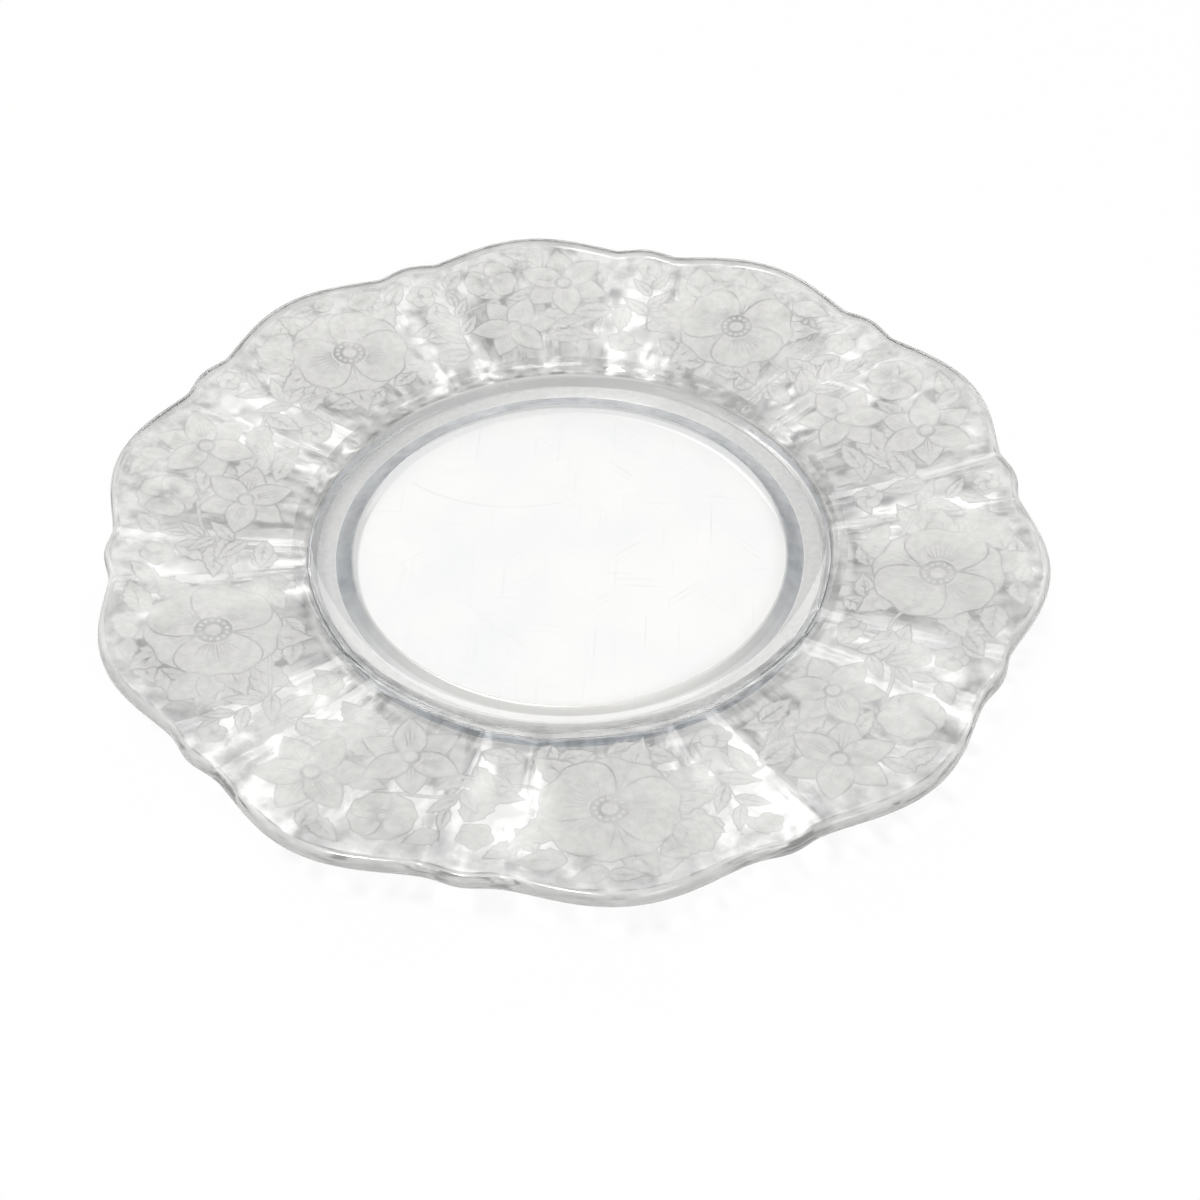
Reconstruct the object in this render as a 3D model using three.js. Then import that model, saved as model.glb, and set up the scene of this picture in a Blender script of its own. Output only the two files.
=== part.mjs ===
// Bread and butter plate of clear pressed glass, with a lobed rim and a ring foot.
// Millimetres, +Z up. The origin is on the table under the middle of the plate, with a lobe on +X.

import * as THREE from 'three';
import { mergeVertices } from 'three/addons/utils/BufferGeometryUtils.js';

// The edge, seen from above
const plateDiameter = 165; // across two opposite lobes
const lobeCount = 10; // wide lobes round the edge, with one small bump between each two
const lobeDepth = 3.5; // from the notches out to the crown of a lobe
const lobeFullness = 1.4; // a smaller power makes a lobe's crown broader
const bumpWidth = 12; // from notch to notch across a bump
const bumpDepth = 0.8; // from the notches out to the crown of a bump
const bumpFullness = 2;

// The rim
const rimThickness = 2.9;
const rimRise = 4.5; // from the verge up to the notches in the edge
const rimSag = 0.5; // how far the rim dips below a straight slope
const edgeRounding = 1.1;
const lobeLift = 0.7; // how far a lobe's crown stands above the notches, at the edge
const bumpLift = 0.4; // the same for a bump
const liftFullness = 0.7; // a power under 1, so that the panels meet in a crease
const vergeLiftShare = 0.6; // share of these lifts that is left where the panels meet the verge

// The well
const floorThickness = 3;
const shoulderRise = 1.5; // from the floor up to the verge, the crease between well and rim
const shoulderWidth = 6.5; // from the flat of the floor out to the verge
const vergeOverhang = 1.7; // how far the verge lies outside the foot's ground face

// The foot
const footDiameter = 90.6; // outside of the ground face that stands on the table
const footFaceWidth = 3.9;
const footHeight = 2; // from the table up to the hollow under the floor
const footInnerRun = 3; // plan width of the foot's sloping inner wall
const footOuterRun = 1.2; // plan width of its steeper outer wall

// How finely the curves are divided
const lobeSteps = 8;
const bumpSteps = 4;
const curveSteps = 3;

// Sizes that follow
const lobeRadius = plateDiameter / 2;
const notchRadius = lobeRadius - lobeDepth;
const lobePitch = 2 * Math.PI / lobeCount;
const bumpHalfAngle = bumpWidth / 2 / notchRadius;
const lobeHalfAngle = lobePitch / 2 - bumpHalfAngle;
const footRadius = footDiameter / 2;
const footInnerRadius = footRadius - footFaceWidth;
const vergeRadius = footRadius + vergeOverhang;
const floorRadius = vergeRadius - shoulderWidth;
const floorTop = footHeight + floorThickness;
const vergeTop = floorTop + shoulderRise;
const edgeTop = vergeTop + rimRise;

// Half of the plate's section at the crown of a lobe, before the panels lift it: from the axis out
// along the underside, round the edge and back along the top. X is the radius and Y the height.
function sectionPoints() {
  const rounding = Math.min(edgeRounding, rimThickness / 2);
  const rimMiddle = (vergeRadius + lobeRadius) / 2;
  const rimMiddleTop = (vergeTop + edgeTop) / 2 - 2 * rimSag;
  const edgeBottom = edgeTop - rimThickness;
  const section = new THREE.Path();
  section.moveTo(0, footHeight);
  section.lineTo(footInnerRadius - footInnerRun, footHeight);
  section.lineTo(footInnerRadius, 0);
  section.lineTo(footRadius, 0);
  section.lineTo(footRadius + footOuterRun, vergeTop - rimThickness);
  section.quadraticCurveTo(rimMiddle, rimMiddleTop - rimThickness, lobeRadius - rounding, edgeBottom);
  section.quadraticCurveTo(lobeRadius, edgeBottom, lobeRadius, edgeBottom + rounding);
  section.lineTo(lobeRadius, edgeTop - rounding);
  section.quadraticCurveTo(lobeRadius, edgeTop, lobeRadius - rounding, edgeTop);
  section.quadraticCurveTo(rimMiddle, rimMiddleTop, vergeRadius, vergeTop);
  section.quadraticCurveTo((floorRadius + vergeRadius) / 2, floorTop, floorRadius, floorTop);
  section.lineTo(0, floorTop);
  return section.getPoints(curveSteps);
}

// The angles of the section's copies round the plate, so that each notch and crown has one.
function panelAngles() {
  const angles = [];
  for (let lobe = 0; lobe < lobeCount; lobe += 1) {
    const middle = lobe * lobePitch;
    for (let step = 0; step < lobeSteps; step += 1) {
      angles.push(middle + lobeHalfAngle * (2 * step / lobeSteps - 1));
    }
    for (let step = 0; step < bumpSteps; step += 1) {
      angles.push(middle + lobeHalfAngle + 2 * bumpHalfAngle * step / bumpSteps);
    }
  }
  return angles;
}

// How far the edge reaches out at an angle, and how far the panel there is lifted at the edge.
function panelAt(angle) {
  const fromLobe = Math.abs(angle - lobePitch * Math.round(angle / lobePitch));
  const fromBump = lobePitch / 2 - fromLobe;
  const lobeCosine = Math.cos(Math.PI / 2 * Math.min(1, fromLobe / lobeHalfAngle));
  const bumpCosine = Math.cos(Math.PI / 2 * Math.min(1, fromBump / bumpHalfAngle));
  const reach = lobeDepth * lobeCosine ** lobeFullness + bumpDepth * bumpCosine ** bumpFullness;
  const lift = lobeLift * lobeCosine ** liftFullness + bumpLift * bumpCosine ** liftFullness;
  return { edgeRadius: notchRadius + reach, lift };
}

// Moves a point of the section out to the lobed edge and up with its panel.
function placePoint(point, angle) {
  const { edgeRadius, lift } = panelAt(angle);
  const alongRim = (point.x - vergeRadius) / (lobeRadius - vergeRadius);
  const overShoulder = (point.x - footRadius) / vergeOverhang;
  const radius = alongRim > 0 ? vergeRadius + alongRim * (edgeRadius - vergeRadius) : point.x;
  const liftShare = alongRim > 0
    ? vergeLiftShare + (1 - vergeLiftShare) * alongRim
    : vergeLiftShare * Math.max(0, overShoulder);
  const height = point.y + liftShare * lift;
  return new THREE.Vector3(radius * Math.cos(angle), radius * Math.sin(angle), height);
}

// The section is turned about the axis, and each of its copies is fitted to the panel that it crosses.
function plateGeometry() {
  const section = sectionPoints();
  const angles = panelAngles();
  const turned = new THREE.LatheGeometry(section, angles.length);
  const positions = turned.getAttribute('position');
  for (let vertex = 0; vertex < positions.count; vertex += 1) {
    const copy = Math.floor(vertex / section.length) % angles.length;
    const placed = placePoint(section[vertex % section.length], angles[copy]);
    positions.setXYZ(vertex, placed.x, placed.y, placed.z);
  }
  turned.deleteAttribute('normal');
  turned.deleteAttribute('uv');
  return mergeVertices(turned);
}

const clearGlass = new THREE.MeshStandardMaterial({ color: 0xdfe3e3, roughness: 0.12, metalness: 0 });

const plate = new THREE.Mesh(plateGeometry(), clearGlass);
plate.name = 'plate';

const breadAndButterPlate = new THREE.Group();
breadAndButterPlate.add(plate);

export default breadAndButterPlate;
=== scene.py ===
import cmath
import math
import random

import bpy
import numpy as np
from mathutils import Matrix, Vector
from mathutils.bvhtree import BVHTree
from mathutils.geometry import delaunay_2d_cdt
from mathutils.kdtree import KDTree


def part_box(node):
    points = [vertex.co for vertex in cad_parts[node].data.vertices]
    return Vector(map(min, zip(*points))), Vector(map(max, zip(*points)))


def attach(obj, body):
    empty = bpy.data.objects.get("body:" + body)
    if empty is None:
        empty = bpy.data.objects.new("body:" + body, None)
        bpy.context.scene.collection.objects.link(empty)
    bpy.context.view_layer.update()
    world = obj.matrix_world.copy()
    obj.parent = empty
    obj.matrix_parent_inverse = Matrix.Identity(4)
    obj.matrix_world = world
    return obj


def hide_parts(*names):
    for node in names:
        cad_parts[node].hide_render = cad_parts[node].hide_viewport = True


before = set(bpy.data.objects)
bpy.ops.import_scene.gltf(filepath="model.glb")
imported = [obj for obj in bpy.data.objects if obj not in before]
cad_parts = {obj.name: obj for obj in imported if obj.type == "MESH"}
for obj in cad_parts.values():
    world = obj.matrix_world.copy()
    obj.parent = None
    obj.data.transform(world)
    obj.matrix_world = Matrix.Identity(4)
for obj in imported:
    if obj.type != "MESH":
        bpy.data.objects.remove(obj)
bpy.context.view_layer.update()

mm = 0.001

# The glass, sizes in mm. The edge follows the solid: wide lobes with a small bump between each two.
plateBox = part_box("plate")
glass = {
    "radius": (plateBox[1].x - plateBox[0].x) / 2 / mm,
    "lobes": 10,
    "lobeDepth": 3.5,
    "lobeFullness": 1.4,
    "bumpWidth": 12.0,
    "bumpDepth": 0.8,
    "bumpFullness": 2.0,
    "lobeLift": 0.7,
    "bumpLift": 0.4,
    "liftFullness": 0.7,      # under 1, so the panels meet in a crease
    "vergeShare": 0.6,        # what is left of the lift at the verge
    "rimThickness": 2.9,
    "rimRise": 4.5,
    "rimSag": 0.5,
    "edgeRounding": 1.1,
    "floorThickness": 3.0,
    "shoulderRise": 1.5,
    "shoulderWidth": 6.5,
    "vergeOverhang": 1.7,
    "vergeRounding": 0.9,
    "vergeMargin": 1.6,       # from the verge out to the etched part of the rim
    "edgeMargin": 0.4,        # from there to the rounding of the edge
    "footRadius": 45.3,
    "footFace": 3.9,
    "footHeight": 2.0,
    "footInnerRun": 3.0,
    "footOuterRun": 1.2,
    "recessFillet": 1.0,
    "footRounding": 0.3,
    "rootFillet": 1.2,
    "flatRun": 3.2,           # rings on the flat under the well, before its plain disc
    "floorRun": 0.6,          # and on the floor
    "rimStops": 9,            # rings under the rim
    "shoulderStops": 9,
    "shoulderEnd": 0.86,      # share of the shoulder below the rounding of the verge
    "arcStep": 0.22,          # radians between the points of a fillet
    "ringSteps": 600,         # points round each ring
}
pitch = 2 * math.pi / glass["lobes"]
notchRadius = glass["radius"] - glass["lobeDepth"]
bumpHalf = glass["bumpWidth"] / 2 / notchRadius
lobeHalf = pitch / 2 - bumpHalf
footInner = glass["footRadius"] - glass["footFace"]
vergeRadius = glass["footRadius"] + glass["vergeOverhang"]
floorRadius = vergeRadius - glass["shoulderWidth"]
floorTop = glass["footHeight"] + glass["floorThickness"]
vergeTop = floorTop + glass["shoulderRise"]
edgeTop = vergeTop + glass["rimRise"]
rimInner = vergeRadius + glass["vergeMargin"]
rimOuter = glass["radius"] - glass["edgeRounding"] - glass["edgeMargin"]
ringAngles = np.arange(glass["ringSteps"]) * 2 * math.pi / glass["ringSteps"]


# How far an angle lies on a lobe and on a bump, 1 at the crown and 0 at the notches
def panelAt(angle):
    fromLobe = np.abs(angle - pitch * np.round(angle / pitch))
    lobeCos = np.cos(math.pi / 2 * np.minimum(1, fromLobe / lobeHalf))
    bumpCos = np.cos(math.pi / 2 * np.minimum(1, (pitch / 2 - fromLobe) / bumpHalf))
    return np.maximum(lobeCos, 0), np.maximum(bumpCos, 0)


def edgeAt(angle):
    lobe, bump = panelAt(angle)
    lobeReach = glass["lobeDepth"] * lobe ** glass["lobeFullness"]
    bumpReach = glass["bumpDepth"] * bump ** glass["bumpFullness"]
    return notchRadius + lobeReach + bumpReach


def liftAt(angle):
    lobe, bump = panelAt(angle)
    fullness = glass["liftFullness"]
    return glass["lobeLift"] * lobe ** fullness + glass["bumpLift"] * bump ** fullness


# Moves a point of the section out to the lobed edge and up with its panel
def placePoint(radius, height, angle):
    along = (radius - vergeRadius) / (glass["radius"] - vergeRadius)
    overShoulder = np.clip((radius - glass["footRadius"]) / glass["vergeOverhang"], 0, 1)
    reach = np.where(along > 0, vergeRadius + along * (edgeAt(angle) - vergeRadius), radius)
    atVerge = glass["vergeShare"]
    share = np.where(along > 0, atVerge + (1 - atVerge) * along, atVerge * overShoulder)
    return np.stack([reach * np.cos(angle), reach * np.sin(angle), height + share * liftAt(angle)], -1)


def rimHeight(radius, start, end):
    t = (radius - vergeRadius) / (glass["radius"] - glass["edgeRounding"] - vergeRadius)
    return start + (end - start) * t - 4 * glass["rimSag"] * t * (1 - t)


def rimTop(plan):
    angle = np.angle(plan)
    along = (np.abs(plan) - vergeRadius) / (edgeAt(angle) - vergeRadius)
    radius = vergeRadius + along * (glass["radius"] - vergeRadius)
    share = glass["vergeShare"] + (1 - glass["vergeShare"]) * along
    return rimHeight(radius, vergeTop, edgeTop) + share * liftAt(angle)


def rimNormals(plan, step=0.04):
    slopeX = (rimTop(plan + step) - rimTop(plan - step)) / (2 * step)
    slopeY = (rimTop(plan + 1j * step) - rimTop(plan - 1j * step)) / (2 * step)
    normal = np.stack([-slopeX, -slopeY, np.ones(len(plan))], -1)
    return normal / np.linalg.norm(normal, axis=1)[:, None]


# Rounds each corner (radius, height, rounding) of a section with an arc
def roundedPath(corners):
    path = []
    for i, (radius, height, rounding) in enumerate(corners):
        corner = complex(radius, height)
        if rounding == 0:
            path.append(corner)
            continue
        before = complex(*corners[i - 1][:2]) - corner
        after = complex(*corners[i + 1][:2]) - corner
        half = abs(cmath.phase(after / before)) / 2
        # a fillet may take nearly all of a side, or half where the next corner is rounded too
        room = [0.95 if neighbour[2] == 0 else 0.48 for neighbour in (corners[i - 1], corners[i + 1])]
        cut = min(rounding / math.tan(half), room[0] * abs(before), room[1] * abs(after))
        middle = before / abs(before) + after / abs(after)
        centre = corner + middle / abs(middle) * cut / math.cos(half)
        first = corner + before / abs(before) * cut - centre
        last = corner + after / abs(after) * cut - centre
        sweep = cmath.phase(last / first)
        steps = max(2, round(abs(sweep) / glass["arcStep"]))
        path += [centre + first * cmath.exp(1j * sweep * k / steps) for k in range(steps + 1)]
    return path


# The section in two runs: under the plate and round the edge, then from the rim's top down to the floor
def sectionPaths():
    under = vergeTop - glass["rimThickness"]
    bottom = edgeTop - glass["rimThickness"]
    recess = footInner - glass["footInnerRun"]
    root = glass["footRadius"] + glass["footOuterRun"]
    rimStops = np.linspace(root, glass["radius"], glass["rimStops"] + 2)[1:-1]
    outside = [(recess - glass["flatRun"], glass["footHeight"], 0)]
    outside += [(recess, glass["footHeight"], glass["recessFillet"])]
    outside += [(footInner, 0, glass["footRounding"]), (glass["footRadius"], 0, glass["footRounding"])]
    outside += [(root, under, glass["rootFillet"])]
    outside += [(r, rimHeight(r, under, bottom), 0) for r in rimStops]
    outside += [(glass["radius"], bottom, glass["edgeRounding"])]
    outside += [(glass["radius"], edgeTop, glass["edgeRounding"])]
    outside += [(rimOuter, rimHeight(rimOuter, vergeTop, edgeTop), 0)]
    inside = [(rimInner, rimHeight(rimInner, vergeTop, edgeTop), 0)]
    inside += [(vergeRadius, vergeTop, glass["vergeRounding"])]
    for t in np.linspace(glass["shoulderEnd"], 0, glass["shoulderStops"]):
        radius = floorRadius + glass["shoulderWidth"] * t
        inside.append((radius, floorTop + glass["shoulderRise"] * t * t, 0))
    inside.append((floorRadius - glass["floorRun"], floorTop, 0))
    return roundedPath(outside), roundedPath(inside)


# The flowers etched on the rim, laid out on one repeat of two lobes. Shapes are outlines in plan,
# complex mm, painted one over the other: frost, or the deeper line that edges and veins a shape.
flowers = {
    "repeats": 5,
    "inner": 49.0,
    "edgeMargin": 2.8,
    "halo": 0.30,             # width of the line round each shape
    "fineHalo": 0.2,          # the same round a small one
    "veinWidth": 0.24,
    "stemWidth": 0.42,
    "creaseRoom": 0.012,      # radians that leaves keep off the creases
    "bumpsClear": 0.97,       # share of the leaves that keep off the bumps' panels
    "seed": 11,
    "fillLeaves": 26,
    "fillTries": 90,          # places looked at for each of them
    "fillReach": (50.5, 78.5),
    "fillDegrees": (-18, 54),
    "fillLength": (5.0, 10.0),
    "fillWidth": (0.24, 0.31),
    "fillBend": 0.2,
    "wildRoses": [(64.0, -1.0, 10, 11.6), (71.2, 42.4, 25, 5.4)],          # radius, degrees, turn, size
    "starBlooms": [(69.0, 30.6, 8, 9.0), (57.9, 40.4, 30, 8.4)],
    "buds": [(69.0, 7.4, 22, 7.6)],
    "florets": [(53.6, 18.8, 0, 2.7), (74.2, 17.2, 20, 2.3), (70.8, 54.2, 10, 2.9), (53.2, 55.2, 40, 2.4)],
    "roseLeaves": [15, 88, 150, 215, 285],                                 # degrees round the first rose
    "roseLeaf": (4.5, 11.5, 3.1),                                          # start, length, width
    "sprigs": [(58.0, 14.5, 4), (52.5, 50.5, -6)],                         # radius, degrees, turn
    "sprigLength": 15,
    "stems": [
        [(57, 6), (60, 12), (63.5, 18), (62, 24), (58, 29)],
        [(66, 42), (64, 48), (60, 54), (59, 60), (63, 65)],
    ],
    "stemLeaves": [(62.5, 15, -70, 8.0), (62.0, 22, 95, 8.0), (61.0, 52, 80, 7.5), (59.5, 57, -95, 7.5)],
}
shapes = []


def polar(radius, degrees):
    return cmath.rect(radius, math.radians(degrees))


def heading(degrees):
    return cmath.rect(1, math.radians(degrees))


def insideRim(plan):
    outer = edgeAt(np.angle(plan)) - flowers["edgeMargin"]
    return bool(np.all((np.abs(plan) > flowers["inner"]) & (np.abs(plan) < outer)))


def crossesBump(plan):
    fromLobe = np.abs(np.angle(plan) - pitch * np.round(np.angle(plan) / pitch))
    return bool(np.any(fromLobe > lobeHalf - flowers["creaseRoom"]))


# Lays a shape on the rim at a spot, turned to its aim and kept off the edge
def paint(kind, outline, spot, aim):
    plan = spot + aim * np.asarray(outline)
    angle = np.angle(plan)
    reach = np.clip(np.abs(plan), flowers["inner"], edgeAt(angle) - flowers["edgeMargin"])
    shapes.append((kind, reach * np.exp(1j * angle)))


# Outline of a petal or leaf along +X, from its half widths
def blade(length, width, lean, blunt, steps):
    t = np.linspace(0, 1, steps + 1)
    half = width * np.maximum(0, np.sin(math.pi * t ** lean)) ** blunt
    right = length * t - 1j * half
    return np.concatenate([right, np.conj(right[-2:0:-1])])


def grown(outline, margin):
    along = np.roll(outline, -1) - np.roll(outline, 1)
    return outline - 1j * margin * along / np.maximum(np.abs(along), 1e-6)


def bent(outline, length, bend):
    return outline + 1j * bend * length * (outline.real / length) ** 2


# A line that tapers to a point
def vein(start, end, width, sag=0.0, steps=3):
    t = np.linspace(0, 1, steps + 1)
    across = 1j * (end - start) / abs(end - start)
    middle = start + (end - start) * t + across * sag * 4 * t * (1 - t)
    half = across * width / 2 * (1 - 0.75 * t)
    return np.concatenate([middle[:-1] - half[:-1], middle[-1:], (middle[:-1] + half[:-1])[::-1]])


def disc(radius, steps, centre=0):
    return centre + radius * np.exp(2j * math.pi * np.arange(steps) / steps)


def leafOutline(length, width, teeth):
    half = []
    for k in range(teeth):
        for share, swell in ((0.1, 0.88), (0.9, 1.1)):
            t = (k + share) / teeth
            half.append(length * t - 1j * width * math.sin(math.pi * t ** 0.72) ** 0.9 * swell)
    return np.array([0] + half + [length * 1.04] + [p.conjugate() for p in reversed(half)])


def leaf(spot, aim, length, width, bend=0.12, teeth=6, veins=4):
    outline = bent(leafOutline(length, width, teeth), length, bend)
    paint("line", grown(outline, flowers["halo"]), spot, aim)
    paint("frost", outline, spot, aim)
    lines = [vein(0.04 * length, 0.92 * length, flowers["veinWidth"] * 1.4, 0, 4)]
    for k in range(veins):
        t = 0.16 + 0.62 * k / veins
        side = width * math.sin(math.pi * (t + 0.2) ** 0.72) ** 0.9 * 0.8
        for hand in (-1, 1):
            tip = (t + 0.17) * length + 1j * hand * side
            lines.append(vein(t * length, tip, flowers["veinWidth"], -0.03 * length * hand, 2))
    for line in lines:
        paint("line", bent(line, length, bend), spot, aim)


def wildRose(spot, aim, size):
    petal = blade(size, 0.60 * size, 1.15, 0.62, 16)
    dip = np.maximum(0, (petal.real / size - 0.6) / 0.4) * np.exp(-(petal.imag / (0.16 * size)) ** 2)
    petal = petal - 0.11 * size * dip
    for k in (0, 2, 4, 1, 3):
        face = aim * heading(72 * k)
        paint("line", grown(petal, flowers["halo"]), spot, face)
        paint("frost", petal, spot, face)
        for j in range(-4, 5):
            start = 0.3 * size * heading(6.5 * j)
            reach = size * (0.82 - 0.045 * abs(j) - 0.10 * (j % 2))
            line = vein(start, reach * heading(8 * j), flowers["veinWidth"], 0.006 * size * j, 3)
            paint("line", line, spot, face)
    paint("line", disc(0.27 * size, 20), spot, aim)
    paint("frost", disc(0.11 * size, 12), spot, aim)
    for k in range(13):
        paint("frost", disc(0.034 * size, 6, 0.195 * size * heading(k * 360 / 13)), spot, aim)


def starBloom(spot, aim, size):
    petal = blade(size, 0.30 * size, 0.85, 0.9, 12)
    for k in (0, 2, 4, 1, 3, 5):
        face = aim * heading(60 * k)
        paint("line", grown(petal, flowers["halo"]), spot, face)
        paint("frost", petal, spot, face)
        for j in (-1, 0, 1):
            tip = size * (0.82 - 0.14 * abs(j) + 0.1j * j)
            paint("line", vein(size * (0.25 + 0.05j * j), tip, flowers["veinWidth"], 0, 2), spot, face)
    paint("line", disc(0.20 * size, 16), spot, aim)
    paint("frost", disc(0.13 * size, 12), spot, aim)


def floret(spot, aim, size):
    petal = blade(size, 0.46 * size, 1.1, 0.55, 7)
    for k in range(5):
        paint("line", grown(petal, flowers["fineHalo"]), spot, aim * heading(72 * k))
        paint("frost", petal, spot, aim * heading(72 * k))
    paint("line", disc(0.22 * size, 8), spot, aim)


def bud(spot, aim, size):
    body = blade(size, 0.34 * size, 0.8, 0.7, 9)
    paint("line", grown(body, flowers["halo"]), spot, aim)
    paint("frost", body, spot, aim)
    for start, tip, sag in ((0.2 + 0.04j, 0.85 + 0.1j, 0.08), (0.25 - 0.04j, 0.75 - 0.12j, -0.06)):
        paint("line", vein(size * start, size * tip, flowers["veinWidth"], sag * size), spot, aim)
    for hand in (-1, 1):
        sepal = blade(0.62 * size, 0.12 * size, 0.8, 0.9, 6)
        paint("line", grown(sepal, flowers["fineHalo"]), spot, aim * heading(38 * hand))
        paint("frost", sepal, spot, aim * heading(38 * hand))


# An open spray of outlined leaves, for the clear glass along a bump
def sprig(spot, aim, length):
    paint("line", vein(0, length, 0.45, 0.05 * length, 5), spot, aim)
    for k, (t, turn) in enumerate(((0.25, 48), (0.4, -46), (0.6, 40), (0.74, -38), (0.92, 4))):
        size = length * (0.42 - 0.03 * k)
        root = spot + aim * (t * length + 0.2j * length * t * (1 - t))
        leaf(root, aim * heading(turn), size, 0.2 * size, 0.1, 4, 2)


# A stem is a smooth curve through its stops, with a line along each side
def stem(stops):
    stops = np.array([polar(r, a) for r, a in stops])
    ends = np.concatenate([stops[:1], stops, stops[-1:]])
    line = []
    for a, b, c, d in zip(ends[:-3], ends[1:-2], ends[2:-1], ends[3:]):
        square, cube = 2 * a - 5 * b + 4 * c - d, 3 * b - a - 3 * c + d
        for t in np.arange(6) / 6:
            line.append(0.5 * (2 * b + (c - a) * t + square * t ** 2 + cube * t ** 3))
    line = np.array(line + [stops[-1]])
    across = 1j * np.gradient(line)
    across = across / np.abs(across) * flowers["stemWidth"] / 2
    paint("line", np.concatenate([line - 1.8 * across, (line + 1.8 * across)[::-1]]), 0, 1)
    paint("frost", np.concatenate([line - across, (line + across)[::-1]]), 0, 1)


# Small leaves fill the ground between the flowers, each where most room is left
def fillGround():
    dice = random.Random(flowers["seed"])
    blooms = flowers["wildRoses"] + flowers["starBlooms"]
    taken = [(polar(radius, degrees), 0.8 * size) for radius, degrees, _, size in blooms]
    near, far = flowers["fillReach"]
    lap = heading(360 / flowers["repeats"])
    for _ in range(flowers["fillLeaves"]):
        best = None
        for _ in range(flowers["fillTries"]):
            radius = math.sqrt(dice.uniform(near ** 2, far ** 2))
            degrees = dice.uniform(*flowers["fillDegrees"])
            along = 90 * dice.choice((-1, 1)) + dice.uniform(-25, 25)      # along the border
            turn = dice.choice((along, dice.uniform(-180, 180)))
            size = dice.uniform(*flowers["fillLength"])
            spread = dice.uniform(*flowers["fillWidth"])
            bend = dice.uniform(-flowers["fillBend"], flowers["fillBend"])
            keep = dice.random()
            spot, aim = polar(radius, degrees), heading(degrees + turn)
            outline = spot + aim * (leafOutline(size, spread * size, 6) - size / 2)
            if not insideRim(outline) or crossesBump(outline) and keep < flowers["bumpsClear"]:
                continue
            copies = (spot / lap, spot, spot * lap)
            room = min(abs(copy - other) - reach for other, reach in taken for copy in copies)
            if best is None or room > best[0]:
                best = (room, spot, aim, size, spread, bend)
        _, spot, aim, size, spread, bend = best
        taken.append((spot, 0.3 * size))
        leaf(spot - aim * size / 2, aim, size, spread * size, bend, 5, 3)


def drawRepeat():
    fillGround()
    for stops in flowers["stems"]:
        stem(stops)
    for radius, degrees, turn, size in flowers["stemLeaves"]:
        leaf(polar(radius, degrees), heading(degrees + turn), size, 0.26 * size, 0.14, 5)
    for radius, degrees, turn in flowers["sprigs"]:
        sprig(polar(radius, degrees), heading(degrees + turn), flowers["sprigLength"])
    radius, degrees = flowers["wildRoses"][0][:2]
    start, length, width = flowers["roseLeaf"]
    for turn in flowers["roseLeaves"]:
        aim = heading(degrees + turn)
        leaf(polar(radius, degrees) + start * aim, aim, length, width)
    for radius, degrees, turn, size in flowers["wildRoses"]:
        wildRose(polar(radius, degrees), heading(degrees + turn), size)
    for radius, degrees, turn, size in flowers["buds"]:
        bud(polar(radius, degrees), heading(degrees + turn), size)
    for radius, degrees, turn, size in flowers["starBlooms"]:
        starBloom(polar(radius, degrees), heading(degrees + turn), size)
    for radius, degrees, turn, size in flowers["florets"]:
        floret(polar(radius, degrees), heading(degrees + turn), size)


drawRepeat()
print("flowers drawn:", len(shapes), "shapes in one repeat")


# Cutting the rim: the painted shapes are laid over each other once, and only the borders that still
# show are kept as edges of the glass. Points between them keep the surface true, sizes in mm.
cutting = {
    "tolerance": 1e-4,
    "rimSpacing": 2.0,
    "rimMargin": (1.0, 2.6),  # kept off the inner and the outer loop
    "creaseFan": (0, 0.35, -0.35, 0.9, -0.9, 1.7, -1.7),      # degrees from a crease
    "creaseSpacing": 1.3,
    "creaseMargin": 2.2,
    "leastGap": 0.3,
    "discSpacing": 4.0,
    "discMargin": 2.5,
    "outsideMargin": 2.0,     # faces of the outer loop's hollows lie beyond this
}


def asVectors(plan):
    return [Vector((p.real, p.imag)) for p in plan]


# Starts an outline at its farthest point, which is surely on its outside, and runs it counterclockwise
def counterClockwise(plan):
    plan = np.roll(plan, -np.argmax(np.abs(plan - plan.mean())))
    turn = ((plan[1] - plan[0]) * np.conj(plan[0] - plan[-1])).imag
    return plan if turn > 0 else np.roll(plan[::-1], 1)


def paintedBorders(outerLoop, innerLoop):
    points, faces, kinds = [], [], []
    loops = [("clear", outerLoop), ("clear", innerLoop)]
    for lap in range(flowers["repeats"]):
        loops += [(kind, plan * heading(lap * 360 / flowers["repeats"])) for kind, plan in shapes]
    for kind, plan in loops:
        faces.append(list(range(len(points), len(points) + len(plan))))
        points += asVectors(counterClockwise(plan))
        kinds.append(kind)
    verts, _, tris, _, _, parents = delaunay_2d_cdt(points, [], faces, 0, cutting["tolerance"])
    shown = [kinds[max(p)] if p else "clear" for p in parents]
    sides = {}
    for index, tri in enumerate(tris):
        for a, b in zip(tri, tri[1:] + tri[:1]):
            sides.setdefault((min(a, b), max(a, b)), []).append(shown[index])
    borders = [edge for edge, pair in sides.items() if len(pair) == 2 and pair[0] != pair[1]]
    finder = BVHTree.FromPolygons([(v.x, v.y, 0) for v in verts], tris)
    return [complex(v.x, v.y) for v in verts], borders, shown, finder


def hexGrid(inner, outer, spacing):
    count = int(outer / spacing) + 2
    grid = []
    for i in range(-count, count):
        for j in range(-count, count):
            grid.append(complex((i + 0.5 * (j % 2)) * spacing, j * spacing * 0.866))
    return [p for p in grid if inner < abs(p) < outer]


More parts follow.
